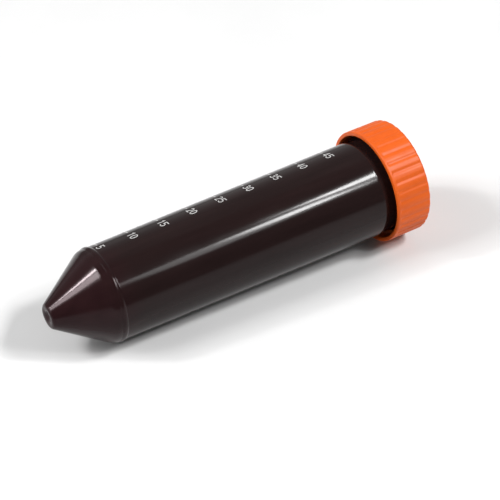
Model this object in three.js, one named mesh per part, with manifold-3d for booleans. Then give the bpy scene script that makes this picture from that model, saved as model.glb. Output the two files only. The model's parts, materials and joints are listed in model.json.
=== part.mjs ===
// A 50 mL class conical centrifuge tube with a ribbed screw cap, lying on its side.
// Millimetres, +Z up, origin on the table under the middle of the object.
//
// Each piece is drawn about the tube's own axis, which runs along +X from the tip (x = 0)
// to the top of the cap. The assembled object is then tilted, so that it rests on its bead
// ring and on the lip of its cap, as a capped tube does on a table.
import * as THREE from "three";
import { mergeVertices } from "three/addons/utils/BufferGeometryUtils.js";
import Module from "manifold-3d";

const wasm = await Module();
wasm.setup();

// ---- driving dimensions -------------------------------------------------------------

const TIP = { faceRadius: 2.8, coneRadius: 3.62, edgeLength: 0.7 };
const CONE = { length: 14.97, radius: 13.72, edgeLength: 1.1 };
const BEAD = { x: 17.12, radius: 14.2, width: 1.4 };
const BODY = { radius: 13.884, endX: 103.1, endRadius: 14.59, wall: 1.16 };
const BOTTOM = { x: 1.6, radius: 2.4, roundLength: 1.2 };
const NECK = { startX: 104.2, shoulderLength: 0.65, radius: 14.15, rimX: 114.05, rimRounding: 0.25 };

const CAP = {
  lipX: 105.5,
  topX: 116.9,
  ribRadius: 17.2,
  ribHeight: 0.22,
  ribCount: 36,
  ribStartX: 106.6,
  ribFadeLength: 0.45,
  edgeRounding: 0.8,
  lipRounding: 0.25,
  lipHoleRadius: 16.0,
  skirtRadius: 15.75,
  skirtStartX: 106.4,
  topThickness: 1.3,
};

const LINER = { radius: 15.3, thickness: 0.95, gap: 0.3 };

// Both ridges share one lead and section. Turns are counted from straight down. The cap's
// ridge starts half a turn further round, so that it runs midway between the tube's turns.
const THREAD = {
  lead: 4.0,
  startX: 107.3,
  footWidth: 2.0,
  crestWidth: 0.6,
  fadeTurns: 0.08,
  sink: 0.3,
  buriedGrowth: 0.1,
  stepsPerTurn: 36,
};
const TUBE_RIDGE = { startTurn: 0, turns: 1.25, crestRadius: 15.4 };
const CAP_RIDGE = { startTurn: 0.5, turns: 1.5, crestRadius: 14.65 };

const TUBE_SEGMENTS = 48;
const CAP_SEGMENTS = 2 * CAP.ribCount;

// ---- geometry helpers ---------------------------------------------------------------

// A closed body turned about the X axis from a profile of [x, radius] points, with a
// corner of its polygon pointing straight down.
function turned(profile, segments, startAngle = 0) {
  const points = profile.map(([x, radius]) => new THREE.Vector2(radius, x));
  return new THREE.LatheGeometry(points, segments, startAngle).rotateZ(-Math.PI / 2);
}

// The same, with a flat of the polygon facing down at the profile's own radius.
function turnedOnFlat(profile, segments) {
  const halfStep = Math.PI / segments;
  const outset = profile.map(([x, radius]) => [x, radius / Math.cos(halfStep)]);
  return turned(outset, segments, halfStep);
}

// Points of a quarter round from one [x, radius] to another, bulging towards a corner.
function rounded([x0, r0], [cornerX, cornerR], [x1, r1], steps = 3) {
  const curve = new THREE.QuadraticBezierCurve(
    new THREE.Vector2(x0, r0),
    new THREE.Vector2(cornerX, cornerR),
    new THREE.Vector2(x1, r1),
  );
  return curve.getPoints(steps).map((point) => [point.x, point.y]);
}

function toSolid(geometry) {
  const bare = geometry.clone();
  bare.deleteAttribute("normal");
  bare.deleteAttribute("uv");
  const merged = mergeVertices(bare, 1e-4);
  return new wasm.Manifold(
    new wasm.Mesh({
      numProp: 3,
      vertProperties: new Float32Array(merged.attributes.position.array),
      triVerts: new Uint32Array(merged.index.array),
    }),
  );
}

function toGeometry(solid) {
  const { vertProperties, triVerts } = solid.getMesh();
  const geometry = new THREE.BufferGeometry();
  geometry.setAttribute("position", new THREE.BufferAttribute(vertProperties, 3));
  geometry.setIndex(new THREE.BufferAttribute(triVerts, 1));
  geometry.computeVertexNormals();
  return geometry;
}

function joined(geometryA, geometryB) {
  return toGeometry(toSolid(geometryA).add(toSolid(geometryB)));
}

// ---- screw thread -------------------------------------------------------------------

// How far a ridge has grown out of its wall: still buried at either end, 1 along its run.
function ridgeGrowth(turn, turns) {
  const fromEnd = Math.min(turn, turns - turn);
  const grown = THREE.MathUtils.smoothstep(fromEnd, 0, THREAD.fadeTurns);
  return THREE.MathUtils.lerp(THREAD.buriedGrowth, 1, grown);
}

// A right-handed ridge on a round wall. Its trapezoid section is drawn with x along the
// axis and y along the radius, run out straight with z counting turns, and then wound
// onto its helix. Its foot is sunk into the wall so that the two join as one body.
function threadRidge({ startTurn, turns, crestRadius }, wallRadius) {
  const footRadius = wallRadius - THREAD.sink * Math.sign(crestRadius - wallRadius);
  const height = crestRadius - footRadius;
  const section = new THREE.Shape([
    new THREE.Vector2(-THREAD.footWidth / 2, 0),
    new THREE.Vector2(THREAD.footWidth / 2, 0),
    new THREE.Vector2(THREAD.crestWidth / 2, height),
    new THREE.Vector2(-THREAD.crestWidth / 2, height),
  ]);
  const geometry = new THREE.ExtrudeGeometry(section, {
    depth: turns,
    steps: Math.round(turns * THREAD.stepsPerTurn),
    bevelEnabled: false,
  });
  const position = geometry.attributes.position;
  const straight = new THREE.Vector3();
  for (let i = 0; i < position.count; i += 1) {
    straight.fromBufferAttribute(position, i);
    const x = THREAD.startX + THREAD.lead * straight.z + straight.x;
    const radius = footRadius + straight.y * ridgeGrowth(straight.z, turns);
    const angle = 2 * Math.PI * (startTurn + straight.z) - Math.PI / 2;
    position.setXYZ(i, x, radius * Math.cos(angle), radius * Math.sin(angle));
  }
  return geometry;
}

// ---- pieces -------------------------------------------------------------------------

function tubeBody() {
  const coneSlope = (CONE.radius - TIP.coneRadius) / CONE.length;
  const coneRadiusAt = (x) => TIP.coneRadius + coneSlope * x;
  const innerConeOffset = BODY.wall * Math.hypot(1, coneSlope);
  const innerRadius = BODY.radius - BODY.wall;
  const innerEndRadius = BODY.endRadius - BODY.wall;
  const innerConeEndX = (innerRadius + innerConeOffset - TIP.coneRadius) / coneSlope;
  const coneEdgeX = CONE.length - CONE.edgeLength;
  const roundTopX = BOTTOM.x + BOTTOM.roundLength;
  const rim = NECK.rimRounding;

  const outside = [
    [0, 0],
    ...rounded(
      [0, TIP.faceRadius],
      [0, TIP.coneRadius],
      [TIP.edgeLength, coneRadiusAt(TIP.edgeLength)],
    ),
    ...rounded(
      [coneEdgeX, coneRadiusAt(coneEdgeX)],
      [CONE.length, CONE.radius],
      [CONE.length + CONE.edgeLength, BODY.radius],
    ),
    ...rounded(
      [BEAD.x - BEAD.width / 2, BODY.radius],
      [BEAD.x, 2 * BEAD.radius - BODY.radius],
      [BEAD.x + BEAD.width / 2, BODY.radius],
      4,
    ),
    ...rounded(
      [BODY.endX - NECK.shoulderLength, BODY.endRadius],
      [BODY.endX, BODY.endRadius],
      [NECK.startX, NECK.radius],
    ),
    [NECK.rimX - rim, NECK.radius],
    [NECK.rimX, NECK.radius - rim],
  ];
  const inside = [
    [NECK.rimX, innerEndRadius + rim],
    [NECK.rimX - rim, innerEndRadius],
    [BODY.endX, innerEndRadius],
    [innerConeEndX, innerRadius],
    [roundTopX, coneRadiusAt(roundTopX) - innerConeOffset],
    [BOTTOM.x, BOTTOM.radius],
    [BOTTOM.x, 0],
  ];
  const moulding = turnedOnFlat([...outside, ...inside], TUBE_SEGMENTS);
  return joined(moulding, threadRidge(TUBE_RIDGE, NECK.radius));
}

// Presses the grooves between the ribs into the outside of the turned cap. Points closer
// to a limit than the margin count as on it.
function cutGrooves(geometry) {
  const position = geometry.attributes.position;
  const point = new THREE.Vector3();
  const margin = 0.01;
  for (let i = 0; i < position.count; i += 1) {
    point.fromBufferAttribute(position, i);
    const radius = Math.hypot(point.y, point.z);
    const alongRibs = point.x > CAP.ribStartX - margin && point.x < CAP.topX - margin;
    const onSkirt = radius > CAP.ribRadius - CAP.edgeRounding - margin;
    if (alongRibs && onSkirt) {
      const angle = Math.atan2(point.y, -point.z);
      const depth = (CAP.ribHeight * (1 - Math.cos(CAP.ribCount * angle))) / 2;
      const scale = (radius - depth) / radius;
      position.setXYZ(i, point.x, point.y * scale, point.z * scale);
    }
  }
  return geometry;
}

function screwCap() {
  const ceilingX = CAP.topX - CAP.topThickness;
  const edge = CAP.edgeRounding;
  const lip = CAP.lipRounding;
  const profile = [
    [ceilingX, 0],
    [ceilingX, CAP.skirtRadius],
    [CAP.skirtStartX, CAP.skirtRadius],
    [CAP.lipX, CAP.lipHoleRadius],
    [CAP.lipX, CAP.ribRadius - lip],
    [CAP.lipX + lip, CAP.ribRadius],
    [CAP.ribStartX - CAP.ribFadeLength, CAP.ribRadius],
    [CAP.ribStartX, CAP.ribRadius],
    ...rounded(
      [CAP.topX - edge, CAP.ribRadius],
      [CAP.topX, CAP.ribRadius],
      [CAP.topX, CAP.ribRadius - edge],
    ),
    [CAP.topX, 0],
  ];
  const shell = cutGrooves(turned(profile, CAP_SEGMENTS));
  return joined(shell, threadRidge(CAP_RIDGE, CAP.skirtRadius));
}

function sealingLiner() {
  const startX = NECK.rimX + LINER.gap;
  const endX = startX + LINER.thickness;
  const profile = [
    [startX, 0],
    [startX, LINER.radius],
    [endX, LINER.radius],
    [endX, 0],
  ];
  return turnedOnFlat(profile, TUBE_SEGMENTS);
}

// ---- assembly -----------------------------------------------------------------------

function piece(name, geometry, color, roughness) {
  const material = new THREE.MeshStandardMaterial({ color, roughness, metalness: 0 });
  const mesh = new THREE.Mesh(geometry, material);
  mesh.name = name;
  return mesh;
}

const tube = new THREE.Group();
tube.add(piece("tube_body", tubeBody(), 0x251c1c, 0.12));
tube.add(piece("screw_cap", screwCap(), 0xf26a2e, 0.42));
tube.add(piece("sealing_liner", sealingLiner(), 0xece9e2, 0.6));

// The lowest points of the bead ring and of the cap's lip both touch the table.
const lipContactX = CAP.lipX + CAP.lipRounding;
tube.rotation.y = -Math.atan2(CAP.ribRadius - BEAD.radius, lipContactX - BEAD.x);

const object = new THREE.Group();
object.add(tube);
object.updateMatrixWorld(true);
const box = new THREE.Box3().setFromObject(object, true);
tube.position.set(-(box.min.x + box.max.x) / 2, 0, -box.min.z);

export default object;
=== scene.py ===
import json
import math

import bmesh
import bpy
import numpy as np
from mathutils import Matrix, Vector


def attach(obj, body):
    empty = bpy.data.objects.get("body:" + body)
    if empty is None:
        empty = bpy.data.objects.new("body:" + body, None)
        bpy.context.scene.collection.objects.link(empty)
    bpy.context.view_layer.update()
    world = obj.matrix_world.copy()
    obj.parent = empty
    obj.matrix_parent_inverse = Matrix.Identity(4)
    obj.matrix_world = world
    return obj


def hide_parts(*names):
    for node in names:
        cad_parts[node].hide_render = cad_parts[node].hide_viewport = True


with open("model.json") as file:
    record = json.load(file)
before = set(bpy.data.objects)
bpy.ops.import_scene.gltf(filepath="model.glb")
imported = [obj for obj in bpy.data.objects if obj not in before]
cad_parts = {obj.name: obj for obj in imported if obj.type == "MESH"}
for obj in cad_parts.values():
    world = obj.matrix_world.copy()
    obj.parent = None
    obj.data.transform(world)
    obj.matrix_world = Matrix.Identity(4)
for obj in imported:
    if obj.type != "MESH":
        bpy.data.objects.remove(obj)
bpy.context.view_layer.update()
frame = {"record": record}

# The object is a screw-capped conical tube that lies on its side. Every piece is drawn
# in millimetres about the tube's own axis, with x running from the tip (0) to the top of
# the cap, and is then placed in the row frame by one matrix.

MM = 0.001
CUBIC_MM_PER_ML = 1000

# ---- the tube's axis, from the two end faces that the record states -----------------

mounts = {mount["name"]: mount for mount in frame["record"]["mounts"]}
TIP_END = Vector(mounts["tip_end"]["pos_m"])
CAP_TOP = Vector(mounts["cap_top"]["pos_m"])
AXIS = (CAP_TOP - TIP_END).normalized()
ACROSS = Vector((0, 1, 0))
UPWARD = AXIS.cross(ACROSS)
AXIS_FRAME = Matrix.Translation(TIP_END) @ Matrix((AXIS, ACROSS, UPWARD)).transposed().to_4x4()
DOWN = -math.pi / 2          # the angle about the axis that faces the table
LENGTH = (CAP_TOP - TIP_END).length / MM
TILT = math.atan2(AXIS.z, AXIS.x)

# ---- dimensions, mm -----------------------------------------------------------------

# Where an x and a radius meet in a corner, the fillet beside them rounds it. The cone's
# inside follows, a wall's thickness in, a cone that starts from the radius TIP["cone"].
TIP = {"corner": 3.47, "cone": 3.62, "fillet": 1.1, "dish_radius": 2.5, "dish_depth": 0.8}
CONE = {"length": 14.97, "radius": 13.72, "fillet": 3.5}
BEAD = {
    "start_x": 16.2, "start_radius": 13.86, "x": 17.12, "corner": 14.39, "end_x": 17.9,
    "foot_fillet": 0.6, "crest_fillet": 1.2,
}
BODY = {"radius": 13.884, "end_x": 103.1, "end_radius": 14.59, "wall": 1.16, "fillet": 3.5}
NECK = {
    "start_x": 104.2, "radius": 14.15, "fillet": 1.5, "thread_x": 104.6,
    "thread_end_x": 113.15, "rim_x": 114.05, "rim_height": 0.7, "rim_fillet": 0.25,
}
BOTTOM = {"x": 1.6, "radius": 2.4, "fillet": 1.6, "cone_fillet": 1.0}

# Turns are counted from the side that faces the table.
THREAD = {"lead": 4.0, "fade": 0.08, "foot": 2.0, "crest": 0.6}
TUBE_RIDGE = {"start_x": 107.3, "start": 0.0, "turns": 1.25, "height": 1.22}
CAP_RIDGE = {"start_x": 107.3, "start": 0.5, "turns": 1.5, "height": 1.07}

CAP = {
    "lip_x": 105.5, "radius": 17.2, "hole": 16.0, "lip_fillet": 0.3, "lip_draft": 0.02,
    "skirt": 15.75, "skirt_x": 106.4, "ceiling_fillet": 0.4, "ceiling_clear": 0.6,
    "edge_fillet": 0.8, "edge_clear": 0.4, "top_thickness": 1.3,
}
RIBS = {"count": 36, "height": 0.22, "x": 106.6, "fade": 0.45, "groove_power": 5}
LINER = {"radius": 15.3, "x": 114.35, "thickness": 0.95, "fillet": 0.15}

MARGIN = 0.01                            # points this close to a limit count as on it

# How finely the pieces are drawn: rings so far apart, mm, and corners to a ring.
RING_STEP = {"neck": 0.14, "skirt": 0.18, "rib_fade": 0.08, "ribs": 1.5}
TUBE_SEGMENTS = 256
CAP_SEGMENTS = 14 * RIBS["count"]
LINER_SEGMENTS = 128

# ---- colours ------------------------------------------------------------------------

# The darkest and the lightest of each.
BODY_BROWN = ((0.0104, 0.0053, 0.0052), (0.0148, 0.0077, 0.0076))
# The cone's browns are redder than the body's: painted light, standing in for light shining through
# the cone's wall.
CONE_GLOW_BROWN = ((0.0140, 0.0052, 0.0058), (0.0185, 0.0070, 0.0078))
CAP_ORANGE = ((0.58, 0.087, 0.007), (0.63, 0.101, 0.010))
FOAM_WHITE = ((0.76, 0.74, 0.68), (0.84, 0.83, 0.79))
INK_WHITE = ((0.37, 0.36, 0.36), (0.55, 0.55, 0.54))

# The tube's reflections are tinted on its cone, and its browns there are redder with painted light
# that stands for light shining through the plastic.
# The fade is where that look turns into the body's, in metres along the tube from the middle of the
# object.
CONE_SHEEN = (1.0, 0.84, 0.87)
BODY_SHEEN = (1.0, 1.0, 1.0)
CONE_FADE = (-0.046, -0.034)

# ---- outlines -----------------------------------------------------------------------


def rounded_outline(corners, steps=5):
    """The points of an outline given as corners (x, radius, fillet)."""
    points = [corners[0][:2]]
    for before, here, after in zip(corners, corners[1:], corners[2:]):
        corner = Vector(here[:2])
        back = (Vector(before[:2]) - corner).normalized()
        ahead = (Vector(after[:2]) - corner).normalized()
        if here[2] == 0:
            points.append(here[:2])
            continue
        half = back.angle(ahead) / 2
        reach = here[2] / math.tan(half)
        centre = corner + (back + ahead).normalized() * here[2] / math.sin(half)
        first = corner + back * reach - centre
        turn = first.angle_signed(corner + ahead * reach - centre)
        for step in range(steps + 1):
            arm = first.copy()
            arm.rotate(Matrix.Rotation(-turn * step / steps, 2))
            points.append(tuple(centre + arm))
    points.append(corners[-1][:2])
    return points


def supported(points, margin=0.12, long_run=0.72):
    """The same outline, with a point close to either end of each long straight run."""
    out = [points[0]]
    for a, b in zip(points, points[1:]):
        run = Vector(b) - Vector(a)
        if run.length > long_run:
            step = run.normalized() * margin
            out.append(tuple(Vector(a) + step))
            out.append(tuple(Vector(b) - step))
        out.append(b)
    return out


def between(start, end, step):
    """Points from one (x, radius) to another, both left out, about a step apart."""
    count = max(2, round((Vector(end) - Vector(start)).length / step))
    return [tuple(Vector(start).lerp(Vector(end), i / count)) for i in range(1, count)]


# ---- meshes -------------------------------------------------------------------------


def add_object(name, mesh, material):
    obj = bpy.data.objects.new(name, mesh)
    bpy.context.scene.collection.objects.link(obj)
    obj.data.materials.append(material)
    return obj


def closed_mesh(name, verts, faces):
    """The mesh of a closed body, with its faces outwards, placed in the row frame."""
    mesh = bpy.data.meshes.new(name)
    mesh.from_pydata(verts, [], faces)
    work = bmesh.new()
    work.from_mesh(mesh)
    bmesh.ops.recalc_face_normals(work, faces=work.faces)
    work.to_mesh(mesh)
    work.free()
    mesh.transform(AXIS_FRAME)
    return mesh


def turned(name, outline, segments, material, shape=None):
    """A closed body turned about the axis. shape(x, radius, angles) bends its rings."""
    angles = np.arange(segments) * (2 * math.pi / segments)
    verts, rings = [], []
    for x, radius in outline:
        if radius == 0:
            rings.append([len(verts)])
            verts.append((x * MM, 0.0, 0.0))
            continue
        radii = shape(x, radius, angles) if shape else np.full(segments, radius)
        rings.append(list(range(len(verts), len(verts) + segments)))
        ring = np.stack([np.full(segments, x), radii * np.cos(angles), radii * np.sin(angles)], 1)
        verts.extend(map(tuple, ring * MM))
    faces = []
    for low, high in zip(rings, rings[1:]):
        for i in range(segments):
            j = (i + 1) % segments
            quad = [low[i % len(low)], low[j % len(low)], high[j % len(high)], high[i % len(high)]]
            faces.append(tuple(dict.fromkeys(quad)))
    mesh = closed_mesh(name, verts, faces)
    mesh.shade_smooth()
    return add_object(name, mesh, material)


def smoothstep(value):
    value = np.clip(value, 0, 1)
    return value * value * (3 - 2 * value)


def ridge(x, angles, ridge_size):
    """How high a screw ridge stands at x, from 0 to 1, for each angle."""
    height = np.zeros_like(angles)
    turned_on = ((angles - DOWN) / (2 * math.pi) - ridge_size["start"]) % 1
    for whole in range(math.ceil(ridge_size["turns"])):
        turn = turned_on + whole
        off = np.abs(x - ridge_size["start_x"] - THREAD["lead"] * turn)
        section = (THREAD["foot"] / 2 - off) / (THREAD["foot"] / 2 - THREAD["crest"] / 2)
        ends = np.minimum(turn, ridge_size["turns"] - turn) / THREAD["fade"]
        height = np.maximum(height, smoothstep(section) * smoothstep(ends))
    return height


# ---- node materials -----------------------------------------------------------------


class Nodes:
    """A material's node tree, with short calls to add and join nodes."""

    def __init__(self, name):
        self.material = bpy.data.materials.new(name)
        self.material.use_nodes = True
        self.tree = self.material.node_tree
        self.shader = self.tree.nodes["Principled BSDF"]

    def add(self, kind, inputs=None, **settings):
        node = self.tree.nodes.new(kind)
        for key, value in settings.items():
            setattr(node, key, value)
        for key, value in (inputs or {}).items():
            if isinstance(value, bpy.types.NodeSocket):
                self.tree.links.new(value, node.inputs[key])
            else:
                node.inputs[key].default_value = value
        return node

    def place(self, stretch=(1, 1, 1)):
        """Where a point lies, with x along the tube, and the axes stretched."""
        where = self.add("ShaderNodeTexCoord").outputs["Object"]
        along = self.add("ShaderNodeMapping", {"Vector": where, "Rotation": (0, TILT, 0)}).outputs[0]
        return self.add("ShaderNodeMapping", {"Vector": along, "Scale": stretch}).outputs[0]

    def noise(self, where, scale, detail=3.0, roughness=0.5):
        inputs = {"Vector": where, "Scale": scale, "Detail": detail, "Roughness": roughness}
        return self.add("ShaderNodeTexNoise", inputs).outputs["Fac"]

    def spread(self, value, low, high, from_low=0.3, from_high=0.7):
        """A value moved from one range to another. Most of a noise lies in 0.3 to 0.7."""
        inputs = {"Value": value, "From Min": from_low, "From Max": from_high,
                  "To Min": low, "To Max": high}
        return self.add("ShaderNodeMapRange", inputs).outputs[0]

    def blend(self, factor, first, second):
        node = self.add("ShaderNodeMix", {"Factor": factor}, data_type="RGBA")
        node.inputs["A"].default_value = (*first, 1)
        node.inputs["B"].default_value = (*second, 1)
        return node.outputs["Result"]

    def mixed(self, factor, first, second):
        node = self.add("ShaderNodeMix", {"Factor": factor}, data_type="RGBA")
        self.tree.links.new(first, node.inputs["A"])
        self.tree.links.new(second, node.inputs["B"])
        return node.outputs["Result"]

    def bump(self, height, strength, distance, below=None):
        inputs = {"Height": height, "Strength": strength, "Distance": distance}
        if below is not None:
            inputs["Normal"] = below
        return self.add("ShaderNodeBump", inputs).outputs["Normal"]

    def finish(self, **sockets):
        for key, value in sockets.items():
            socket = self.shader.inputs[key.replace("_", " ")]
            if isinstance(value, bpy.types.NodeSocket):
                self.tree.links.new(value, socket)
            else:
                socket.default_value = value
        return self.material


def tube_plastic():
    """Glossy dark brown polypropylene, with faint flow lines along the tube. Its cone is painted
    redder, a painted glow of light shining through the wall.
    """
    nodes = Nodes("tube_plastic")
    flow = nodes.noise(nodes.place((0.12, 1, 1)), 260)
    haze = nodes.noise(nodes.place(), 90, detail=2)
    grain = nodes.noise(nodes.place(), 5200, detail=1)
    waves = nodes.noise(nodes.place((0.25, 1, 1)), 120, detail=1)
    normal = nodes.bump(waves, 0.12, 0.0002)
    body = nodes.blend(nodes.spread(flow, 0, 1), *BODY_BROWN)
    # The cone's redder brown is painted light shining through the plastic.
    cone = nodes.blend(nodes.spread(flow, 0, 1), *CONE_GLOW_BROWN)
    along = nodes.add("ShaderNodeSeparateXYZ", {"Vector": nodes.place()}).outputs["X"]
    on_body = nodes.spread(along, 0, 1, *CONE_FADE)
    return nodes.finish(
        Base_Color=nodes.mixed(on_body, cone, body),
        Specular_Tint=nodes.blend(on_body, CONE_SHEEN, BODY_SHEEN),
        Roughness=nodes.spread(haze, 0.10, 0.14),
        Normal=nodes.bump(grain, 0.05, 0.00002, normal),
        IOR=1.25,
    )


def cap_plastic():
    """Satin orange polyethylene, slightly cloudy, with a fine moulded grain."""
    nodes = Nodes("cap_plastic")
    cloud = nodes.noise(nodes.place(), 140)
    grain = nodes.noise(nodes.place(), 2600, detail=2)
    haze = nodes.noise(nodes.place(), 320, detail=2)
    return nodes.finish(
        Base_Color=nodes.blend(nodes.spread(cloud, 0, 1), *CAP_ORANGE),
        Roughness=nodes.spread(haze, 0.40, 0.48),
        Normal=nodes.bump(grain, 0.12, 0.00003),
        IOR=1.3,
    )


def liner_foam():
    """Off-white expanded foam with small closed cells."""
    nodes = Nodes("liner_foam")
    inputs = {"Vector": nodes.place(), "Scale": 2400}
    cells = nodes.add("ShaderNodeTexVoronoi", inputs).outputs["Distance"]
    cloud = nodes.noise(nodes.place(), 500)
    return nodes.finish(
        Base_Color=nodes.blend(nodes.spread(cloud, 0, 1), *FOAM_WHITE),
        Roughness=nodes.spread(cloud, 0.55, 0.72),
        Normal=nodes.bump(cells, 0.3, 0.00006),
    )


def scale_ink():
    """White screen ink, a little thin in places."""
    nodes = Nodes("scale_ink")
    thin = nodes.noise(nodes.place(), 1800)
    grain = nodes.noise(nodes.place(), 7000, detail=1)
    return nodes.finish(
        Base_Color=nodes.blend(nodes.spread(thin, 0, 1), *INK_WHITE),
        Roughness=nodes.spread(thin, 0.45, 0.6),
        Normal=nodes.bump(grain, 0.15, 0.00002),
    )


# ---- tube body ----------------------------------------------------------------------

CONE_SLOPE = (CONE["radius"] - TIP["cone"]) / CONE["length"]
BODY_SLOPE = (BODY["end_radius"] - BODY["radius"]) / (BODY["end_x"] - BEAD["x"])


def body_radius(x):
    """The outside radius of the drafted body."""
    return BODY["radius"] + BODY_SLOPE * (x - BEAD["x"])


def tip_dish(steps=6):
    """The corners of the shallow dish in the tip's face, from its middle outwards."""
    corners = []
    for step in range(steps + 1):
        depth = TIP["dish_depth"] * math.cos(math.pi / 2 * step / steps) ** 2
        corners.append((depth, TIP["dish_radius"] * step / steps, 0))
    return corners


def tube_outline():
    offset = BODY["wall"] * math.hypot(1, CONE_SLOPE)
    inner = BODY["radius"] - BODY["wall"]
    inner_end = BODY["end_radius"] - BODY["wall"]
    cone_end = (inner + offset - TIP["cone"]) / CONE_SLOPE
    thread_start = (NECK["thread_x"], NECK["radius"])
    thread_end = (NECK["thread_end_x"], NECK["radius"])
    outside = rounded_outline([
        *tip_dish(),
        (0, TIP["corner"], TIP["fillet"]),
        (CONE["length"], CONE["radius"], CONE["fillet"]),
        (BEAD["start_x"], BEAD["start_radius"], BEAD["foot_fillet"]),
        (BEAD["x"], BEAD["corner"], BEAD["crest_fillet"]),
        (BEAD["end_x"], body_radius(BEAD["end_x"]), BEAD["foot_fillet"]),
        (BODY["end_x"], BODY["end_radius"], BODY["fillet"]),
        (NECK["start_x"], NECK["radius"], NECK["fillet"]),
        (*thread_end, 0),
    ])
    rim_and_inside = rounded_outline([
        (NECK["rim_x"] - NECK["rim_height"], NECK["radius"], 0),
        (NECK["rim_x"], NECK["radius"], NECK["rim_fillet"]),
        (NECK["rim_x"], inner_end, NECK["rim_fillet"]),
        (BODY["end_x"], inner_end, 0),
        (cone_end, inner, BOTTOM["cone_fillet"]),
        (BOTTOM["x"], BOTTOM["radius"], BOTTOM["fillet"]),
        (BOTTOM["x"], 0, 0),
    ])
    return [
        *supported(outside[:-1]),
        thread_start,
        *between(thread_start, thread_end, RING_STEP["neck"]),
        thread_end,
        *supported(rim_and_inside),
    ]


def threaded_neck(x, radius, angles):
    """The radii of one ring of the tube, with the thread raised on its neck."""
    along_thread = NECK["thread_x"] - MARGIN < x < NECK["thread_end_x"] + MARGIN
    if along_thread and radius > NECK["radius"] - MARGIN:
        return radius + TUBE_RIDGE["height"] * ridge(x, angles, TUBE_RIDGE)
    return np.full(len(angles), radius)


# ---- cap and liner ------------------------------------------------------------------


def cap_outline():
    ceiling = LENGTH - CAP["top_thickness"]
    skirt_start = (ceiling - CAP["ceiling_clear"], CAP["skirt"])
    skirt_end = (CAP["skirt_x"], CAP["skirt"])
    rib_start = (RIBS["x"] - RIBS["fade"], CAP["radius"])
    rib_full = (RIBS["x"], CAP["radius"])
    rib_end = (LENGTH - CAP["edge_fillet"] - CAP["edge_clear"], CAP["radius"])
    inside = rounded_outline([
        (ceiling, 0, 0),
        (ceiling, CAP["skirt"], CAP["ceiling_fillet"]),
        (*skirt_start, 0),
    ])
    lip = rounded_outline([
        (*skirt_end, 0),
        (CAP["lip_x"], CAP["hole"], CAP["lip_fillet"]),
        (CAP["lip_x"], CAP["radius"] - CAP["lip_draft"], CAP["lip_fillet"]),
        (*rib_start, 0),
    ])
    top = rounded_outline([
        (*rib_end, 0),
        (LENGTH, CAP["radius"], CAP["edge_fillet"]),
        (LENGTH, 0, 0),
    ], steps=8)
    return [
        *supported(inside),
        *between(skirt_start, skirt_end, RING_STEP["skirt"]),
        *supported(lip),
        *between(rib_start, rib_full, RING_STEP["rib_fade"]),
        rib_full,
        *between(rib_full, rib_end, RING_STEP["ribs"]),
        *supported(top),
    ]


def ribbed_and_threaded(x, radius, angles):
    """The radii of one ring of the cap, grooved outside and threaded inside."""
    edge_radius = CAP["radius"] - CAP["edge_fillet"]
    if x > RIBS["x"] - RIBS["fade"] and radius > edge_radius - MARGIN:
        from_lip = smoothstep((x - RIBS["x"] + RIBS["fade"]) / RIBS["fade"])
        from_top = smoothstep((radius - edge_radius) / CAP["edge_fillet"])
        across = np.abs(np.sin((angles - DOWN) * RIBS["count"] / 2))
        return radius - RIBS["height"] * from_lip * from_top * across ** RIBS["groove_power"]
    if x > CAP["skirt_x"] and abs(radius - CAP["skirt"]) < MARGIN:
        return radius - CAP_RIDGE["height"] * ridge(x, angles, CAP_RIDGE)
    return np.full(len(angles), radius)


def liner_outline():
    start, end = LINER["x"], LINER["x"] + LINER["thickness"]
    return supported(rounded_outline([
        (start, 0, 0),
        (start, LINER["radius"], LINER["fillet"]),
        (end, LINER["radius"], LINER["fillet"]),
        (end, 0, 0),
    ]))


# ---- printed scale ------------------------------------------------------------------

INK_FACES = (-0.03, 0.03)                # how far the film's two faces stand off the wall
DIGIT_HEIGHT = 2.5
DIGIT_WIDTH = 0.58                       # this, the gap and the stroke per unit height
DIGIT_GAP = 0.14
STROKE = 0.11
MITRE_LIMIT = 0.5                        # keeps the point of a sharp bend within one width
DIGIT_STEP = 0.12                        # the longest run between points of a stroke
PRINT_ANGLE = math.radians(90 - 12.4)    # where the middle of the numerals stands
PRINT_SKEW = 0.0055                      # how far the print drifts round the tube, per mm
TICK = {"gap": 1.45, "long": 6.0, "short": 3.4, "width": 0.32, "step": 0.4}
SCALE = {"first_x": 19.68, "first_ml": 5.0, "last_ml": 45, "tick_ml": 2.5, "numeral_ml": 5}
HALF_TICK = 2.0                          # about halfway from one tick to the next


def bow(centre, radii, start, end, steps=9):
    """Points along part of an ellipse, angles in degrees."""
    angles = [math.radians(start + (end - start) * i / steps) for i in range(steps + 1)]
    return [(centre[0] + radii[0] * math.cos(a), centre[1] + radii[1] * math.sin(a)) for a in angles]


def digit_strokes(digit):
    """The middle lines of a plain digit, one unit high, as (points, closed) pairs."""
    half = STROKE / 2
    top, wide = 1 - half, DIGIT_WIDTH - half
    middle = DIGIT_WIDTH / 2
    if digit == "0":
        return [(bow((middle, 0.5), (middle - half, 0.5 - half), 0, 340, 17), True)]
    if digit == "1":
        return [([(0.1, 0.76), (0.36, top), (0.36, 0)], False)]
    if digit == "2":
        bend = bow((middle, 0.70), (middle - half, top - 0.70), 165, -25)
        return [(bend + [(half + 0.02, half), (DIGIT_WIDTH, half)], False)]
    if digit == "3":
        upper = bow((middle - 0.02, 0.725), (middle - half - 0.01, top - 0.725), 150, -80)
        lower = bow((middle - 0.02, 0.30), (middle - half + 0.02, 0.30 - half), 85, -155)
        return [(upper + lower, False)]
    if digit == "4":
        stem = 0.42
        return [
            ([(stem, 0), (stem, 1)], False),
            ([(stem - half, top - 0.05), (half, 0.3), (stem - half, 0.3)], False),
            ([(stem + half, 0.3), (DIGIT_WIDTH, 0.3)], False),
        ]
    bowl = bow((middle - 0.02, 0.33), (middle - half + 0.02, 0.33 - half), 128, -150, 12)
    return [([(wide + half, top), (half + 0.05, top)] + bowl, False)]


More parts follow.
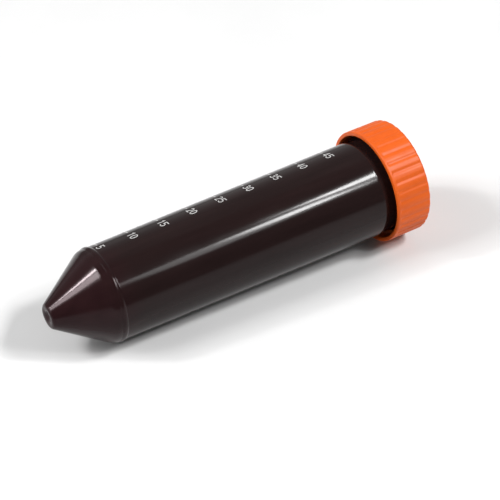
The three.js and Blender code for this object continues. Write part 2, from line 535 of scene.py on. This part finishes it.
def ribbon(points, closed, width):
    """Left and right edge points of a stroke with mitred corners."""
    count = len(points)
    left, right = [], []
    for i, point in enumerate(points):
        here = Vector(point)
        before = Vector(points[i - 1]) if closed or i > 0 else None
        after = Vector(points[(i + 1) % count]) if closed or i < count - 1 else None
        into = (here - before).normalized() if before else (after - here).normalized()
        out = (after - here).normalized() if after else into
        side_in, side_out = Vector((-into.y, into.x)), Vector((-out.y, out.x))
        mitre = (side_in + side_out).normalized()
        reach = width / 2 / max(mitre.dot(side_in), MITRE_LIMIT)
        left.append(here + mitre * reach)
        right.append(here - mitre * reach)
    return left, right


def wrap(across, along, lift):
    """A point on the body: across is along its girth, from the middle of the numerals."""
    radius = body_radius(along)
    angle = PRINT_ANGLE + (across - PRINT_SKEW * (along - SCALE["first_x"])) / radius
    out = radius + lift
    return (along * MM, out * math.cos(angle) * MM, out * math.sin(angle) * MM)


def ink(verts, faces, left, right, closed):
    """Adds one stroke, given as its two edges in mm on the flat, as a thin closed shell."""
    first = len(verts)
    count = len(left)
    for a, b in zip(left, right):
        for lift in INK_FACES:
            verts.append(wrap(a.x, a.y, lift))
            verts.append(wrap(b.x, b.y, lift))
    for i in range(count if closed else count - 1):
        here, there = first + 4 * i, first + 4 * ((i + 1) % count)
        for a, b in ((0, 1), (1, 3), (3, 2), (2, 0)):
            faces.append((here + a, here + b, there + b, there + a))
    if not closed:
        last = first + 4 * (count - 1)
        faces.append((first, first + 1, first + 3, first + 2))
        faces.append((last, last + 1, last + 3, last + 2))


def refined(points, step):
    """The same line with no run longer than a step."""
    out = [points[0]]
    for a, b in zip(points, points[1:]):
        count = max(1, math.ceil((Vector(b) - Vector(a)).length / step))
        out += [tuple(Vector(a).lerp(Vector(b), i / count)) for i in range(1, count + 1)]
    return out


def printed_piece(name, strokes, material):
    """Strokes are (points, closed, width) on the flat: across the girth and along."""
    verts, faces = [], []
    for points, closed, width in strokes:
        left, right = ribbon(points, closed, width)
        ink(verts, faces, left, right, closed)
    return add_object(name, closed_mesh(name, verts, faces), material)


def numeral_strokes(text, x):
    """The strokes of a number whose middle lies at x along the tube."""
    advance = (DIGIT_WIDTH + DIGIT_GAP) * DIGIT_HEIGHT
    start = -advance + DIGIT_GAP * DIGIT_HEIGHT / 2
    strokes = []
    for place, digit in enumerate(text):
        for points, closed in digit_strokes(digit):
            moved = [
                (start + place * advance + u * DIGIT_HEIGHT, x + (v - 0.5) * DIGIT_HEIGHT)
                for u, v in refined(points, DIGIT_STEP)
            ]
            strokes.append((moved, closed, STROKE * DIGIT_HEIGHT))
    return strokes


def mark_positions():
    """Where each volume mark stands: the bore's area sets the way from one to the next."""
    x = SCALE["first_x"]
    volume = SCALE["first_ml"]
    marks = {volume: x}
    while volume < SCALE["last_ml"]:
        bore = body_radius(x + HALF_TICK) - BODY["wall"]
        x += SCALE["tick_ml"] * CUBIC_MM_PER_ML / (math.pi * bore ** 2)
        volume += SCALE["tick_ml"]
        marks[volume] = x
    return marks


def printed_scale(material):
    pieces = []
    two_digits = (2 * DIGIT_WIDTH + DIGIT_GAP) * DIGIT_HEIGHT
    tick_end = -two_digits / 2 - TICK["gap"] - TICK["long"]
    ticks = []
    for volume, x in mark_positions().items():
        major = volume % SCALE["numeral_ml"] == 0
        length = TICK["long"] if major else TICK["short"]
        line = refined([(tick_end + length, x), (tick_end, x)], TICK["step"])
        ticks.append((line, False, TICK["width"]))
        if major:
            text = str(round(volume))
            pieces.append(printed_piece(f"numeral_{text}", numeral_strokes(text, x), material))
    pieces.append(printed_piece("scale_ticks", ticks, material))
    return pieces


# ---- the object ---------------------------------------------------------------------

tube = turned("tube_moulding", tube_outline(), TUBE_SEGMENTS, tube_plastic(), threaded_neck)
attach(tube, "tube")
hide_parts("tube_body")

cap = turned("cap_moulding", cap_outline(), CAP_SEGMENTS, cap_plastic(), ribbed_and_threaded)
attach(cap, "cap")
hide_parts("screw_cap")

liner = turned("liner_disc", liner_outline(), LINER_SEGMENTS, liner_foam())
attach(liner, "liner")
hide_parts("sealing_liner")

for piece in printed_scale(scale_ink()):
    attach(piece, "tube")

# ---- floor, light and camera --------------------------------------------------------

# Directions are in degrees: azimuth 0 looks from -Y and 90 from +X, and elevation is
# counted from the table.

CAMERA = {
    "azimuth": -31.52, "elevation": 38.47, "distance": 543.3, "aim": (4.83, -2.87, 12.75),
    "lens": 136.15, "sensor": 36, "far": 50,
}

# The floor is a sheet of paper, in metres, whose colour darkens from one distance to another from
# the middle of its bright part: a painted pool of light. Its two greys are the lowest and the
# highest of its grain.
FLOOR = {
    "size": 6.0, "centre": (0.04, 0.06, 0.0), "fade": (0.17, 0.42),
    "near": (0.655, 0.675), "far": (0.34, 0.36),
}

# How bright the studio is, from its front wall (0) to its back wall (1).
STUDIO = (
    (0.0, 0.13), (0.12, 0.14), (0.58, 0.18), (0.65, 0.39), (0.86, 0.37),
    (0.94, 0.52), (0.962, 0.58), (0.982, 0.27), (1.0, 0.24),
)

# Each light: azimuth, elevation, width and height as the object sees them, radiance. Two
# softboxes stand right and left, each a dim panel with brighter lamps on it or just above
# it, and a dim fill stands below the left one.
LIGHT_DISTANCE = 1.0
LIGHTS = {
    "right_panel": (41, 46.3, 29, 10.5, 7.39),
    "right_lamp_high": (50.8, 52.9, 12, 5, 81.8),
    "right_lamp_low": (33.8, 46.9, 4.4, 6, 69.4),
    "right_lamp_side": (54, 46.5, 3, 9, 56),
    "left_panel": (-106, 38, 29, 16, 3.92),
    "left_lamp_far": (-116, 43, 4, 6, 106),
    "left_lamp_near": (-101, 43, 13, 6, 22.4),
    "left_lamp_top": (-106, 50, 20, 3, 33.6),
    "left_fill": (-106, 24, 38, 20, 3.02),
}


def toward(azimuth, elevation):
    """The unit vector from the object towards a viewer or a light."""
    a, e = math.radians(azimuth), math.radians(elevation)
    return Vector((math.sin(a) * math.cos(e), -math.cos(a) * math.cos(e), math.sin(e)))


def floor_paper():
    """Matt grey paper, faintly clouded, with a painted pool of light: its colour darkens away from
    the object.
    """
    nodes = Nodes("floor_paper")
    cloud = nodes.spread(nodes.noise(nodes.place(), 30), 0, 1)
    near = nodes.blend(cloud, *[(grey,) * 3 for grey in FLOOR["near"]])
    far = nodes.blend(cloud, *[(grey,) * 3 for grey in FLOOR["far"]])
    where = nodes.add("ShaderNodeTexCoord").outputs["Object"]
    inputs = {0: where, 1: FLOOR["centre"]}
    distance = nodes.add("ShaderNodeVectorMath", inputs, operation="DISTANCE").outputs["Value"]
    return nodes.finish(
        # The pool of light is painted: the paper's grey falls from near to far with the distance
        # from its middle.
        Base_Color=nodes.mixed(nodes.spread(distance, 0, 1, *FLOOR["fade"]), near, far),
        Roughness=0.9,
    )


def add_floor():
    half = FLOOR["size"] / 2
    corners = [(-half, -half, 0), (half, -half, 0), (half, half, 0), (-half, half, 0)]
    mesh = bpy.data.meshes.new("floor")
    mesh.from_pydata(corners, [], [(0, 1, 2, 3)])
    floor = add_object("floor", mesh, floor_paper())


def extent(angle):
    """How wide a light is at its distance when the object sees it under an angle."""
    return 2 * LIGHT_DISTANCE * math.tan(math.radians(angle / 2))


def add_light(name, azimuth, elevation, wide, high, radiance):
    """A rectangular light that faces the object."""
    back = toward(azimuth, elevation)
    side = Vector((0, 0, 1)).cross(back).normalized()
    width = extent(wide)
    height = extent(high)
    data = bpy.data.lights.new(name, "AREA")
    data.shape = "RECTANGLE"
    data.size = width
    data.size_y = height
    data.energy = radiance * math.pi * width * height
    lamp = bpy.data.objects.new(name, data)
    bpy.context.scene.collection.objects.link(lamp)
    turn = Matrix((side, back.cross(side), back)).transposed().to_4x4()
    lamp.matrix_world = Matrix.Translation(back * LIGHT_DISTANCE) @ turn
    lamp.visible_camera = False


def add_world():
    """A studio that is dark at its front wall and brighter towards its back wall."""
    world = bpy.data.worlds.new("studio")
    world.use_nodes = True
    tree = world.node_tree
    where = tree.nodes.new("ShaderNodeTexCoord").outputs["Generated"]
    split = tree.nodes.new("ShaderNodeSeparateXYZ")
    tree.links.new(where, split.inputs[0])
    ramp = tree.nodes.new("ShaderNodeValToRGB")
    stops = ramp.color_ramp.elements
    while len(stops) < len(STUDIO):
        stops.new(0.5)
    for stop, (position, radiance) in zip(stops, STUDIO):
        stop.position = position
        stop.color = (radiance, radiance, radiance, 1)
    place = tree.nodes.new("ShaderNodeMapRange")
    place.inputs["From Min"].default_value = -1
    tree.links.new(split.outputs["Y"], place.inputs["Value"])
    tree.links.new(place.outputs[0], ramp.inputs[0])
    tree.links.new(ramp.outputs[0], tree.nodes["Background"].inputs["Color"])
    bpy.context.scene.world = world


def add_camera():
    data = bpy.data.cameras.new("camera")
    data.lens = CAMERA["lens"]
    data.sensor_width = CAMERA["sensor"]
    data.clip_end = CAMERA["far"]
    camera = bpy.data.objects.new("camera", data)
    bpy.context.scene.collection.objects.link(camera)
    aim = Vector(CAMERA["aim"]) * MM
    back = toward(CAMERA["azimuth"], CAMERA["elevation"])
    camera.location = aim + back * CAMERA["distance"] * MM
    camera.rotation_euler = (-back).to_track_quat("-Z", "Y").to_euler()
    bpy.context.scene.camera = camera


add_floor()
add_world()
for light_name, values in LIGHTS.items():
    add_light(light_name, *values)
add_camera()
bpy.context.scene.view_settings.view_transform = "Standard"
